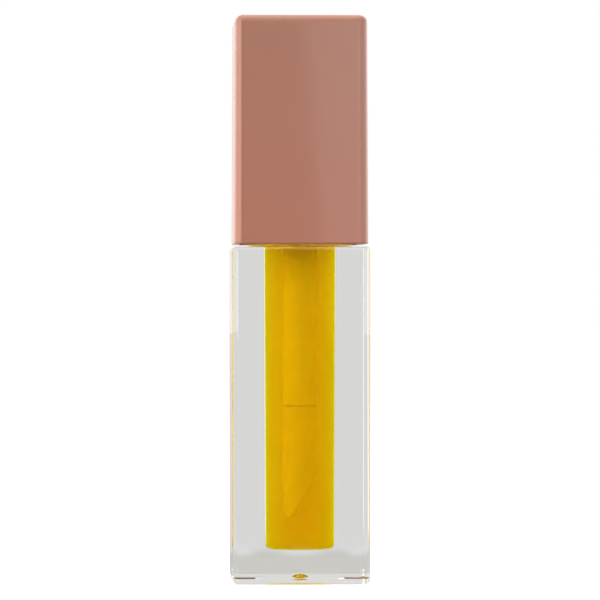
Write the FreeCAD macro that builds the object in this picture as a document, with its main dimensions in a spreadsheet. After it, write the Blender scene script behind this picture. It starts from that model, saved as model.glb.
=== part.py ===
import FreeCAD, Part
import Sketcher
import os
import math

# Square lip gloss tube: thick-wall clear bottle with a threaded neck, press-in wiper, gloss fill,
# screw cap (outer shell, threaded inner cap, sealing gasket) and a doe-foot applicator on a hollow stem.
# Row frame: origin at the centre of the foot, +Z up, flat faces square to X and Y. Millimetres.

V = FreeCAD.Vector
doc = FreeCAD.newDocument("lip_gloss_tube")

# ---------------------------------------------------------------- driving dimensions
DIMENSIONS = [
    ("total_height", 101.0),
    # bottle block
    ("bottle_width", 24.5),
    ("bottle_corner", 1.2),
    ("bottle_base_round", 1.1),
    ("bottle_top_round", 0.6),
    ("shoulder_z", 59.85),
    ("collar_radius", 9.6),
    ("collar_height", 0.45),
    ("neck_radius", 7.8),
    ("neck_top_z", 74.3),
    ("neck_chamfer", 0.4),
    # cavity and underside
    ("cavity_floor_z", 5.88),
    ("cavity_floor_radius", 6.26),
    ("cavity_top_radius", 6.48),
    ("cavity_corner", 0.9),
    ("recess_radius", 8.0),
    ("recess_depth", 0.8),
    ("recess_round", 0.25),
    ("gate_radius", 1.9),
    ("gate_depth", 0.64),
    # screw thread
    ("thread_pitch", 3.0),
    ("neck_thread_crest", 8.65),
    ("neck_thread_base_width", 1.5),
    ("neck_thread_crest_width", 0.7),
    ("neck_thread_start_z", 65.0),
    ("neck_thread_sweep", 265.0),
    ("cap_thread_crest", 8.02),
    ("cap_thread_base_width", 1.4),
    ("cap_thread_crest_width", 0.6),
    ("cap_thread_sweep", 80.0),
    ("cap_thread_lag", 2.5),
    ("thread_drop", 1.04),
    # wiper
    ("wiper_flange_radius", 7.4),
    ("wiper_flange_thick", 0.9),
    ("wiper_tube_radius", 6.39),
    ("wiper_bore_radius", 5.43),
    ("wiper_bead_radius", 6.47),
    ("wiper_cone_z", 65.6),
    ("wiper_lip_z", 62.1),
    ("wiper_lip_radius", 3.21),
    ("wiper_lip_thick", 0.55),
    # gloss
    ("gloss_gap", 0.04),
    ("gloss_level_z", 61.6),
    ("gloss_well_radius", 3.34),
    ("gloss_well_floor_z", 11.0),
    # gasket
    ("gasket_inner_radius", 3.4),
    ("gasket_outer_radius", 8.8),
    ("gasket_bottom_z", 75.25),
    ("gasket_thick", 1.0),
    # inner cap
    ("inner_cap_bottom_z", 60.4),
    ("inner_cap_bore", 8.85),
    ("inner_cap_radius", 10.1),
    ("inner_flange_radius", 10.3),
    ("inner_flange_height", 1.1),
    ("inner_ceiling_z", 76.3),
    ("inner_top_z", 77.9),
    ("boss_radius", 5.2),
    ("boss_top_z", 88.0),
    ("stem_socket_radius", 3.18),
    ("key_height", 12.0),
    # outer cap
    ("cap_width", 23.9),
    ("cap_bottom_z", 60.35),
    ("cap_draft", 0.28),
    ("cap_corner", 1.6),
    ("cap_top_round", 1.4),
    ("cap_rim_round", 0.2),
    ("cap_wall", 1.3),
    ("cap_roof", 1.6),
    ("rib_offset", 5.6),
    ("rib_thick", 1.0),
    ("rib_reach", 7.4),
    ("rib_bottom_z", 61.6),
    ("rib_top_z", 84.0),
    ("rib_clear", 10.15),
    ("cross_length", 12.0),
    ("cross_thick", 0.9),
    ("cross_bottom_z", 89.5),
    # stem
    ("stem_radius", 3.14),
    ("stem_bottom_z", 31.4),
    ("stem_end_round", 0.6),
    ("stem_bore", 1.95),
    ("stem_bore_top_z", 46.0),
    ("stem_head_radius", 4.6),
    ("stem_head_top_z", 89.4),
    # applicator tip
    ("tip_half_width", 3.14),
    ("tip_half_depth", 2.8),
    ("tip_toe_z", 11.55),
    ("tip_toe_x", -1.3),
    ("tip_nose_x", -2.2),
    ("tip_heel_z", 19.2),
    ("tip_round", 0.5),
    ("flock_thick", 0.45),
    ("core_round", 0.5),
    ("root_radius", 1.92),
    ("root_top_z", 45.0),
]
sheet = doc.addObject("Spreadsheet::Sheet", "Params")
P = {}
for row, (alias, value) in enumerate(DIMENSIONS, 1):
    sheet.set("A%d" % row, alias)
    sheet.set("B%d" % row, repr(value))
    sheet.setAlias("B%d" % row, alias)
    P[alias] = value
doc.recompute()


def value(expression):
    """The number that an expression over the sheet's aliases has now."""
    return float(sum_of(expression))


def sum_of(expression):
    """Sums, differences and products of aliases and numbers, such as 'neck_top_z - neck_chamfer' or 'bottle_width * 0.5'."""
    total, sign = 0.0, 1.0
    for token in expression.replace("+", " + ").replace(" -", " - ").split(" "):
        if token == "":
            continue
        if token == "+":
            sign = 1.0
        elif token == "-":
            sign = -1.0
        else:
            product = 1.0
            for factor in token.split("*"):
                product *= P[factor] if factor in P else float(factor)
            total += sign * product
            sign = 1.0
    return total


def sheet_expression(expression):
    """The same expression, written with the names of the size table."""
    words = []
    for token in expression.replace("+", " + ").replace(" -", " - ").split(" "):
        if token == "":
            continue
        words.append("*".join("Params." + f if f in P else f for f in token.split("*")))
    return " ".join(words)


def bind(obj, prop, expression):
    obj.setExpression(prop, sheet_expression(expression))


def plane_of(body, role):
    return next(o for o in body.Origin.OriginFeatures if o.Role == role)


def new_body(name):
    body = doc.addObject("PartDesign::Body", name)
    body.Label = name
    return body


def new_sketch(body, name, role, offset=None):
    sk = body.newObject("Sketcher::SketchObject", name)
    sk.AttachmentSupport = [(plane_of(body, role), "")]
    sk.MapMode = "FlatFace"
    if offset is not None:
        bind(sk, "AttachmentOffset.Base.z", offset)
    return sk


def pin_point(sk, geo, pos, x, y):
    """Fixes one sketch point at (x, y), each an expression over the sheet."""
    for kind, axis, text in (("DistanceX", -2, x), ("DistanceY", -1, y)):
        v = value(text)
        if abs(v) < 1e-12:
            sk.addConstraint(Sketcher.Constraint("PointOnObject", geo, pos, axis))
        else:
            index = sk.addConstraint(
                Sketcher.Constraint(kind, -1, 1, geo, pos, v)
            )
            sk.setExpression("Constraints[%d]" % index, sheet_expression(text))


def loop(sk, points):
    """A closed outline through points, each a pair of expressions."""
    n = len(points)
    xy = [V(value(x), value(y), 0) for x, y in points]
    first = sk.GeometryCount
    for i in range(n):
        sk.addGeometry(Part.LineSegment(xy[i], xy[(i + 1) % n]), False)
    for i in range(n):
        sk.addConstraint(
            Sketcher.Constraint("Coincident", first + i, 2, first + (i + 1) % n, 1)
        )
    for i, (x, y) in enumerate(points):
        pin_point(sk, first + i, 1, x, y)


def box_loop(sk, x0, y0, x1, y1):
    loop(sk, [(x0, y0), (x1, y0), (x1, y1), (x0, y1)])


def circle(sk, radius, x="0", y="0"):
    geo = sk.addGeometry(
        Part.Circle(V(value(x), value(y), 0), V(0, 0, 1), value(radius)), False
    )
    sk.addConstraint(Sketcher.Constraint("Coincident", geo, 3, -1, 1))
    index = sk.addConstraint(Sketcher.Constraint("Radius", geo, value(radius)))
    sk.setExpression("Constraints[%d]" % index, sheet_expression(radius))
    return geo


def pad(body, name, sk, length, taper=None, reversed_=False):
    f = body.newObject("PartDesign::Pad", name)
    f.Profile = sk
    bind(f, "Length", length)
    f.Reversed = reversed_
    if taper is not None:
        bind(f, "TaperAngle", taper)
    doc.recompute()
    return f


def pocket(body, name, sk, length, taper=None, reversed_=False):
    f = body.newObject("PartDesign::Pocket", name)
    f.Profile = sk
    bind(f, "Length", length)
    f.Reversed = reversed_
    if taper is not None:
        bind(f, "TaperAngle", taper)
    doc.recompute()
    return f


def revolve(body, name, sk, cut=False):
    f = body.newObject("PartDesign::Groove" if cut else "PartDesign::Revolution", name)
    f.Profile = sk
    f.ReferenceAxis = (sk, ["V_Axis"])
    f.Angle = 360
    doc.recompute()
    return f


def helix(body, name, sk, pitch, sweep):
    f = body.newObject("PartDesign::AdditiveHelix", name)
    f.Profile = sk
    f.ReferenceAxis = (sk, ["V_Axis"])
    f.Mode = "pitch-turns-angle"
    bind(f, "Pitch", pitch)
    bind(f, "Turns", sweep + "*0.002777777778")
    f.Angle = 0
    doc.recompute()
    return f


def edges_where(feature, test):
    return [
        "Edge%d" % (i + 1) for i, e in enumerate(feature.Shape.Edges) if test(e)
    ]


def fillet(body, name, feature, test, radius):
    names = edges_where(feature, test)
    if not names:
        raise RuntimeError("%s finds no edge" % name)
    f = body.newObject("PartDesign::Fillet", name)
    f.Base = (feature, names)
    bind(f, "Radius", radius)
    doc.recompute()
    return f


def upright(e):
    a, b = e.Vertexes[0].Point, e.Vertexes[-1].Point
    return abs(a.z - b.z) > 2.0 and abs(a.x - b.x) < 0.5 and abs(a.y - b.y) < 0.5


def flat_at(z, tol=1e-4):
    return lambda e: abs(e.BoundBox.ZMin - z) < tol and abs(e.BoundBox.ZMax - z) < tol


# ---------------------------------------------------------------- bottle
bottle = new_body("bottle")
sk = new_sketch(bottle, "bottle_outline", "XY_Plane")
box_loop(sk, "bottle_width*-0.5", "bottle_width*-0.5", "bottle_width*0.5", "bottle_width*0.5")
f = pad(bottle, "bottle_block", sk, "shoulder_z")
f = fillet(bottle, "bottle_corners", f, upright, "bottle_corner")
f = fillet(bottle, "bottle_base_edge", f, flat_at(0.0), "bottle_base_round")
f = fillet(bottle, "bottle_top_edge", f, flat_at(P["shoulder_z"]), "bottle_top_round")
sk = new_sketch(bottle, "neck_profile", "XZ_Plane")
loop(sk, [
    ("0", "shoulder_z - 1"),
    ("collar_radius", "shoulder_z - 1"),
    ("collar_radius", "shoulder_z + collar_height"),
    ("neck_radius", "shoulder_z + collar_height"),
    ("neck_radius", "neck_top_z - neck_chamfer"),
    ("neck_radius - neck_chamfer", "neck_top_z"),
    ("0", "neck_top_z"),
])
f = revolve(bottle, "neck", sk)
sk = new_sketch(bottle, "neck_thread_profile", "XZ_Plane")
loop(sk, [
    ("neck_radius - 0.3", "neck_thread_start_z - neck_thread_base_width*0.5"),
    ("neck_radius", "neck_thread_start_z - neck_thread_base_width*0.5"),
    ("neck_thread_crest", "neck_thread_start_z - neck_thread_crest_width*0.5"),
    ("neck_thread_crest", "neck_thread_start_z + neck_thread_crest_width*0.5"),
    ("neck_radius", "neck_thread_start_z + neck_thread_base_width*0.5"),
    ("neck_radius - 0.3", "neck_thread_start_z + neck_thread_base_width*0.5"),
])
f = helix(bottle, "neck_thread", sk, "thread_pitch", "neck_thread_sweep")
sk = new_sketch(bottle, "cavity_profile", "XZ_Plane")
loop(sk, [
    ("0", "cavity_floor_z"),
    ("cavity_floor_radius", "cavity_floor_z"),
    ("cavity_top_radius", "shoulder_z"),
    ("cavity_top_radius", "neck_top_z + 1"),
    ("0", "neck_top_z + 1"),
])
before = f.Shape.Volume
f = revolve(bottle, "cavity", sk, cut=True)
if not before - f.Shape.Volume > 7000:
    raise RuntimeError("the cavity cut nothing: %g" % (before - f.Shape.Volume))
f = fillet(
    bottle, "cavity_corner_round", f,
    lambda e: flat_at(P["cavity_floor_z"])(e) and e.BoundBox.XLength > 10,
    "cavity_corner",
)
sk = new_sketch(bottle, "recess_outline", "XY_Plane")
circle(sk, "recess_radius")
before = f.Shape.Volume
f = pocket(bottle, "underside_recess", sk, "recess_depth", reversed_=True)
if not before - f.Shape.Volume > 100:
    raise RuntimeError("the recess cut nothing: %g" % (before - f.Shape.Volume))
sk = new_sketch(bottle, "gate_profile", "XZ_Plane")
# dome of the moulding gate: a sphere through the recess roof at gate_radius, gate_depth high
gate_ball = (P["gate_radius"] ** 2 + P["gate_depth"] ** 2) / (2 * P["gate_depth"])
gate_centre = P["recess_depth"] + P["gate_depth"] - gate_ball
ball = bottle.newObject("PartDesign::SubtractiveSphere", "gate_dimple")
ball.AttachmentSupport = [(plane_of(bottle, "XY_Plane"), "")]
ball.MapMode = "FlatFace"
ball.setExpression(
    "Radius",
    "(Params.gate_radius * Params.gate_radius + Params.gate_depth * Params.gate_depth) / (2 * Params.gate_depth)",
)
ball.setExpression(
    "AttachmentOffset.Base.z",
    "Params.recess_depth + Params.gate_depth - (Params.gate_radius * Params.gate_radius + Params.gate_depth * Params.gate_depth) / (2 * Params.gate_depth)",
)
bottle.removeObject(sk)
doc.removeObject(sk.Name)
before = f.Shape.Volume
doc.recompute()
f = ball
if not before - f.Shape.Volume > 2:
    raise RuntimeError("the gate dimple cut nothing: %g" % (before - f.Shape.Volume))
f = fillet(
    bottle, "recess_rim_round", f,
    lambda e: flat_at(0.0)(e) and abs(e.BoundBox.XLength - 2 * P["recess_radius"]) < 0.1,
    "recess_round",
)

# ---------------------------------------------------------------- wiper
wiper = new_body("wiper")
sk = new_sketch(wiper, "wiper_profile", "XZ_Plane")
loop(sk, [
    ("wiper_lip_radius", "wiper_lip_z"),
    ("wiper_lip_radius + 0.45", "wiper_lip_z - 0.1"),
    ("wiper_tube_radius - 0.35", "wiper_cone_z - 0.9"),
    ("wiper_tube_radius", "wiper_cone_z + 0.3"),
    ("wiper_tube_radius", "neck_top_z - 6.1"),
    ("wiper_bead_radius", "neck_top_z - 5.7"),
    ("wiper_bead_radius", "neck_top_z - 5.4"),
    ("wiper_tube_radius", "neck_top_z - 5.0"),
    ("wiper_tube_radius", "neck_top_z - 2.9"),
    ("wiper_bead_radius", "neck_top_z - 2.5"),
    ("wiper_bead_radius", "neck_top_z - 2.2"),
    ("wiper_tube_radius", "neck_top_z - 1.8"),
    ("wiper_tube_radius", "neck_top_z"),
    ("wiper_flange_radius", "neck_top_z"),
    ("wiper_flange_radius", "neck_top_z + wiper_flange_thick - 0.25"),
    ("wiper_flange_radius - 0.25", "neck_top_z + wiper_flange_thick"),
    ("wiper_bore_radius + 0.3", "neck_top_z + wiper_flange_thick"),
    ("wiper_bore_radius", "neck_top_z + wiper_flange_thick - 0.3"),
    ("wiper_bore_radius", "wiper_cone_z"),
    ("wiper_lip_radius", "wiper_lip_z + wiper_lip_thick"),
])
f = revolve(wiper, "wiper_turned", sk)

# ---------------------------------------------------------------- gloss
gloss = new_body("gloss_fill")
sk = new_sketch(gloss, "gloss_profile", "XZ_Plane")
loop(sk, [
    ("0", "cavity_floor_z + gloss_gap"),
    ("cavity_floor_radius - gloss_gap", "cavity_floor_z + gloss_gap"),
    ("cavity_top_radius - gloss_gap", "shoulder_z"),
    ("cavity_top_radius - gloss_gap", "gloss_level_z"),
    ("gloss_well_radius", "gloss_level_z"),
    ("gloss_well_radius", "gloss_well_floor_z"),
    ("0", "gloss_well_floor_z"),
])
f = revolve(gloss, "gloss_body", sk)
f = fillet(
    gloss, "gloss_floor_round", f,
    lambda e: flat_at(P["cavity_floor_z"] + P["gloss_gap"])(e) and e.BoundBox.XLength > 10,
    "cavity_corner",
)

# ---------------------------------------------------------------- sealing gasket
gasket = new_body("sealing_gasket")
sk = new_sketch(gasket, "gasket_outline", "XY_Plane", offset="gasket_bottom_z")
circle(sk, "gasket_outer_radius")
circle(sk, "gasket_inner_radius")
f = pad(gasket, "gasket_disc", sk, "gasket_thick")

# ---------------------------------------------------------------- inner cap
inner = new_body("inner_cap")
sk = new_sketch(inner, "inner_cap_profile", "XZ_Plane")
loop(sk, [
    ("inner_cap_bore + 0.25", "inner_cap_bottom_z"),
    ("inner_flange_radius", "inner_cap_bottom_z"),
    ("inner_flange_radius", "inner_cap_bottom_z + inner_flange_height"),
    ("inner_cap_radius", "inner_cap_bottom_z + inner_flange_height"),
    ("inner_cap_radius", "inner_top_z - 0.6"),
    ("inner_cap_radius - 0.6", "inner_top_z"),
    ("boss_radius", "inner_top_z"),
    ("boss_radius", "boss_top_z"),
    ("stem_socket_radius", "boss_top_z"),
    ("stem_socket_radius", "inner_ceiling_z"),
    ("inner_cap_bore", "inner_ceiling_z"),
    ("inner_cap_bore", "inner_cap_bottom_z + 0.25"),
])
f = revolve(inner, "inner_cap_turned", sk)
# anti-rotation keys, one each side of every rib of the outer cap
sk = new_sketch(inner, "key_outline", "XY_Plane", offset="inner_cap_bottom_z + inner_flange_height")
box_loop(sk, "rib_offset + rib_thick*0.5 + 0.1", "6.5", "rib_offset + rib_thick*0.5 + 1.0", "9.2")
box_loop(sk, "rib_offset - rib_thick*0.5 - 1.0", "8.4", "rib_offset - rib_thick*0.5 - 0.1", "9.9")
box_loop(sk, "rib_offset*-1 - rib_thick*0.5 - 1.0", "6.5", "rib_offset*-1 - rib_thick*0.5 - 0.1", "9.2")
box_loop(sk, "rib_offset*-1 + rib_thick*0.5 + 0.1", "8.4", "rib_offset*-1 + rib_thick*0.5 + 1.0", "9.9")
keys = pad(inner, "keys", sk, "key_height")
pattern = inner.newObject("PartDesign::PolarPattern", "keys_around")
pattern.Originals = [keys]
pattern.Axis = (sk, ["N_Axis"])
pattern.Angle = 360
pattern.Occurrences = 4
inner.Tip = pattern
doc.recompute()
f = pattern
# internal thread: a short ridge hooked under the start of the neck's ridge, thread_drop lower
sk = new_sketch(inner, "cap_thread_profile", "XZ_Plane")
sk.setExpression("AttachmentOffset.Rotation.Angle", "Params.cap_thread_lag")
sk.AttachmentOffset = FreeCAD.Placement(V(0, 0, 0), FreeCAD.Rotation(V(0, 1, 0), P["cap_thread_lag"]))
mid = "neck_thread_start_z + thread_pitch*cap_thread_lag*0.002777777778 - thread_drop"
loop(sk, [
    ("inner_cap_bore + 0.3", mid + " - cap_thread_base_width*0.5"),
    ("inner_cap_bore", mid + " - cap_thread_base_width*0.5"),
    ("cap_thread_crest", mid + " - cap_thread_crest_width*0.5"),
    ("cap_thread_crest", mid + " + cap_thread_crest_width*0.5"),
    ("inner_cap_bore", mid + " + cap_thread_base_width*0.5"),
    ("inner_cap_bore + 0.3", mid + " + cap_thread_base_width*0.5"),
])
f = helix(inner, "cap_thread", sk, "thread_pitch", "cap_thread_sweep")

# ---------------------------------------------------------------- outer cap
outer = new_body("outer_cap")
sk = new_sketch(outer, "cap_outline", "XY_Plane", offset="cap_bottom_z")
box_loop(sk, "cap_width*-0.5", "cap_width*-0.5", "cap_width*0.5", "cap_width*0.5")
f = pad(outer, "cap_block", sk, "total_height - cap_bottom_z", taper="cap_draft*-1")
f = fillet(outer, "cap_corners", f, upright, "cap_corner")
f = fillet(outer, "cap_top_edge", f, flat_at(P["total_height"]), "cap_top_round")
sk = new_sketch(outer, "cap_hollow_outline", "XY_Plane", offset="cap_bottom_z")
box_loop(sk, "cap_width*-0.5 + cap_wall", "cap_width*-0.5 + cap_wall", "cap_width*0.5 - cap_wall", "cap_width*0.5 - cap_wall")
before = f.Shape.Volume
f = pocket(outer, "cap_hollow", sk, "total_height - cap_bottom_z - cap_roof", taper="cap_draft*-1", reversed_=True)
if not before - f.Shape.Volume > 10000:
    raise RuntimeError("the cap hollow cut nothing: %g" % (before - f.Shape.Volume))


def inside_upright(e):
    c = e.BoundBox.Center
    return upright(e) and e.BoundBox.ZMax < P["total_height"] - P["cap_roof"] + 0.01 and abs(abs(c.x) - abs(c.y)) < 0.02


f = fillet(outer, "cap_hollow_corners", f, inside_upright, "cap_wall*0.6")
sk = new_sketch(outer, "rib_outline", "XY_Plane", offset="rib_bottom_z")
for s in ("1", "-1"):
    a = "rib_offset*%s - rib_thick*0.5" % s
    b = "rib_offset*%s + rib_thick*0.5" % s
    box_loop(sk, a, "rib_reach", b, "cap_width*0.5 - cap_wall + 0.4")
ribs = pad(outer, "ribs", sk, "rib_top_z - rib_bottom_z")
pattern = outer.newObject("PartDesign::PolarPattern", "ribs_around")
pattern.Originals = [ribs]
pattern.Axis = (sk, ["N_Axis"])
pattern.Angle = 360
pattern.Occurrences = 4
outer.Tip = pattern
doc.recompute()
f = pattern
sk = new_sketch(outer, "rib_seat_profile", "XZ_Plane")
loop(sk, [
    ("0", "cap_bottom_z + 0.2"),
    ("rib_clear", "cap_bottom_z + 0.2"),
    ("rib_clear", "inner_top_z + 0.05"),
    ("0", "inner_top_z + 0.05"),
])
before = f.Shape.Volume
f = revolve(outer, "rib_seat", sk, cut=True)
if not before - f.Shape.Volume > 50:
    raise RuntimeError("the rib seat cut nothing: %g" % (before - f.Shape.Volume))
sk = new_sketch(outer, "cross_outline", "XY_Plane", offset="cross_bottom_z")
loop(sk, [
    ("cross_thick*0.5", "cross_thick*0.5"),
    ("cross_thick*0.5", "cross_length*0.5"),
    ("cross_thick*-0.5", "cross_length*0.5"),
    ("cross_thick*-0.5", "cross_thick*0.5"),
    ("cross_length*-0.5", "cross_thick*0.5"),
    ("cross_length*-0.5", "cross_thick*-0.5"),
    ("cross_thick*-0.5", "cross_thick*-0.5"),
    ("cross_thick*-0.5", "cross_length*-0.5"),
    ("cross_thick*0.5", "cross_length*-0.5"),
    ("cross_thick*0.5", "cross_thick*-0.5"),
    ("cross_length*0.5", "cross_thick*-0.5"),
    ("cross_length*0.5", "cross_thick*0.5"),
])
f = pad(outer, "cross_rib", sk, "total_height - cap_roof + 0.3 - cross_bottom_z")
f = fillet(
    outer, "cap_rim_edge", f,
    lambda e: flat_at(P["cap_bottom_z"])(e) and (max(abs(e.BoundBox.Center.x), abs(e.BoundBox.Center.y)) > 0.5 * P["cap_width"] - 0.7),
    "cap_rim_round",
)

# ---------------------------------------------------------------- applicator stem
stem = new_body("applicator_stem")
sk = new_sketch(stem, "stem_profile", "XZ_Plane")
loop(sk, [
    ("stem_bore", "stem_bottom_z"),
    ("stem_radius", "stem_bottom_z"),
    ("stem_radius", "boss_top_z + 0.02"),
    ("stem_head_radius", "boss_top_z + 0.02"),
    ("stem_head_radius", "stem_head_top_z"),
    ("0", "stem_head_top_z"),
    ("0", "stem_bore_top_z"),
    ("stem_bore", "stem_bore_top_z"),
])
f = revolve(stem, "stem_turned", sk)
f = fillet(
    stem, "stem_end_edge", f,
    lambda e: flat_at(P["stem_bottom_z"])(e) and abs(e.BoundBox.XLength - 2 * P["stem_radius"]) < 0.05,
    "stem_end_round",
)
f = fillet(
    stem, "stem_head_edge", f,
    lambda e: flat_at(P["stem_head_top_z"])(e),
    "stem_end_round*0.5",
)


# ---------------------------------------------------------------- applicator tip
def tip_body(name, inset, round_):
    """A doe-foot: an oval rod from the stem down, cut off at a slant; inset shrinks it all round."""
    body = new_body(name)
    sk = new_sketch(body, name + "_section", "XY_Plane", offset="tip_toe_z - 3")
    a, b = (t - P["flock_thick"] * inset for t in (P["tip_half_width"], P["tip_half_depth"]))
    geo = sk.addGeometry(Part.Ellipse(V(0, 0, 0), a, b), False)
    sk.exposeInternalGeometry(geo)
    sk.addConstraint(Sketcher.Constraint("Coincident", geo, 3, -1, 1))
    sk.addConstraint(Sketcher.Constraint("PointOnObject", geo + 1, 1, -1))
    for line, full in ((geo + 1, "tip_half_width"), (geo + 2, "tip_half_depth")):
        text = "%s*2 - flock_thick*%g" % (full, 2 * inset)
        index = sk.addConstraint(
            Sketcher.Constraint("Distance", line, 1, line, 2, value(text))
        )
        sk.setExpression("Constraints[%d]" % index, sheet_expression(text))
    f = pad(body, name + "_rod", sk, "stem_bottom_z - 0.05 - tip_toe_z + 3")
    # slanted cut, from the blunt toe on the -X side up to the heel on the +X side
    lift = " + flock_thick*%g" % inset if inset else ""
    heel = " + flock_thick*%g" % (inset * 1.4) if inset else ""
    sk = new_sketch(body, name + "_slant", "XZ_Plane")
    loop(sk, [
        ("tip_half_width*-1 - 2", "tip_toe_z + 3.65" + lift),
        ("tip_nose_x", "tip_toe_z + 0.2" + lift),
        ("tip_toe_x", "tip_toe_z" + lift),
        ("tip_half_width", "tip_heel_z" + heel),
        ("tip_half_width + 2", "tip_heel_z + 3.4" + heel),
        ("tip_half_width + 2", "tip_toe_z - 8"),
        ("tip_half_width*-1 - 2", "tip_toe_z - 8"),
    ])
    before = f.Shape.Volume
    f = body.newObject("PartDesign::Pocket", name + "_slant_cut")
    f.Profile = sk
    f.Midplane = True
    f.Length = 20.0
    doc.recompute()
    if not before - f.Shape.Volume > 20:
        raise RuntimeError(name + ": the slant cut nothing")
    low = P["tip_heel_z"] + 3.5
    f = fillet(
        body, name + "_slant_edge", f,
        lambda e: e.BoundBox.ZMax < low and e.BoundBox.XLength + e.BoundBox.YLength > 0.1,
        round_,
    )
    return body, f


core, f = tip_body("applicator_core", 1, "core_round")
sk = new_sketch(core, "root_outline", "XY_Plane", offset="stem_bottom_z - 1")
circle(sk, "root_radius")
f = pad(core, "root", sk, "root_top_z - stem_bottom_z + 1")

flock_outer, f = tip_body("flock_outer", 0, "tip_round")
flock = doc.addObject("Part::Cut", "applicator_flock")
flock.Label = "applicator_flock"
flock.Base = flock_outer
flock.Tool = core
doc.recompute()

# ---------------------------------------------------------------- check and write
PARTS = [bottle, wiper, gloss, gasket, inner, outer, stem, core, flock]
failed = [o.Name for o in doc.Objects if "Invalid" in o.State or "Error" in o.State]
if failed:
    raise RuntimeError("these objects failed: %s" % failed)
os.makedirs("parts", exist_ok=True)
for o in PARTS:
    shape = o.Shape
    if shape.isNull() or not shape.isValid() or not shape.Solids:
        raise RuntimeError("%s has no valid solid" % o.Label)
    shape.exportStep("parts/%s.step" % o.Label)
    b = shape.BoundBox
    print(
        "%-18s solids %d  volume %9.2f mm3  x %.2f..%.2f  y %.2f..%.2f  z %.2f..%.2f"
        % (o.Label, len(shape.Solids), shape.Volume, b.XMin, b.XMax, b.YMin, b.YMax, b.ZMin, b.ZMax)
    )
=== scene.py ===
import bpy
import math
import random
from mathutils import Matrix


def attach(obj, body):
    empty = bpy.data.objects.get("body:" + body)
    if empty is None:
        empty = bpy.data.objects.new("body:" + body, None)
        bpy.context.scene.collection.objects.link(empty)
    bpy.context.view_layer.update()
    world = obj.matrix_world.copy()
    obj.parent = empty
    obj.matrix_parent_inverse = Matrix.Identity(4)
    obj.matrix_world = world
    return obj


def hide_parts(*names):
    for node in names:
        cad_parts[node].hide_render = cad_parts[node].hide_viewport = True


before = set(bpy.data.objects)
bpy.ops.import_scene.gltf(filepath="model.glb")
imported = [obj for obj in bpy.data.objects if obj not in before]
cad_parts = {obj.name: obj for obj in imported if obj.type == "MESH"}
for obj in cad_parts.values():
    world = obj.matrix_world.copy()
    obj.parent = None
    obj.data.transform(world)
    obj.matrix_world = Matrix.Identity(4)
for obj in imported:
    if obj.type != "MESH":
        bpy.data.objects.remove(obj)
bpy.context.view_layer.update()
MM = 0.001
sc = bpy.context.scene

# ------------------------------------------------------------------ mesh tools
# A surface is a stack of rings that all have the same number of points. A band is a run of rings whose
# shading normals belong together; neighbouring bands share their ring, so every mesh is one closed skin.


class Around:
    """Points round the axis: a circle, or a rounded square whose flats and corners keep their own points."""

    def __init__(self, half, corner, flats=30, arc=9):
        self.half, self.corner = half, corner
        top = math.atan2(half - corner, half)
        side = []
        for i in range(flats):
            t = -top + 2 * top * i / flats
            side.append(("f", (half - corner) * math.tan(t) / math.tan(top)))
        for j in range(arc):
            side.append(("a", 0.5 * math.pi * j / arc))
        self.items = [(k, kind, v) for k in range(4) for kind, v in side]
        self.n = len(self.items)
        base = self.square(half)
        self.angle = [math.atan2(p[1], p[0]) for p, _ in base]

    def square(self, r, flat=None, corner=None):
        """Rounded square of half width r; the flats keep their length unless flat and corner are given."""
        o = self.half - r
        rad = self.corner - o if corner is None else corner
        mid = self.half - self.corner if flat is None else flat
        grow = mid / (self.half - self.corner)
        out = []
        for k, kind, v in self.items:
            if kind == "f":
                p, n = (mid + rad, v * grow), (1.0, 0.0)
            else:
                n = (math.cos(v), math.sin(v))
                p = (mid + rad * n[0], mid + rad * n[1])
            c, s = [(1, 0), (0, 1), (-1, 0), (0, -1)][k]
            out.append(((p[0] * c - p[1] * s, p[0] * s + p[1] * c), (n[0] * c - n[1] * s, n[0] * s + n[1] * c)))
        return out

    def circle(self, r):
        return [((r * math.cos(a), r * math.sin(a)), (math.cos(a), math.sin(a))) for a in self.angle]


class Round(Around):
    """Evenly spaced points on circles only."""

    def __init__(self, n):
        self.n = n
        self.angle = [2 * math.pi * i / n for i in range(n)]


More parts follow.
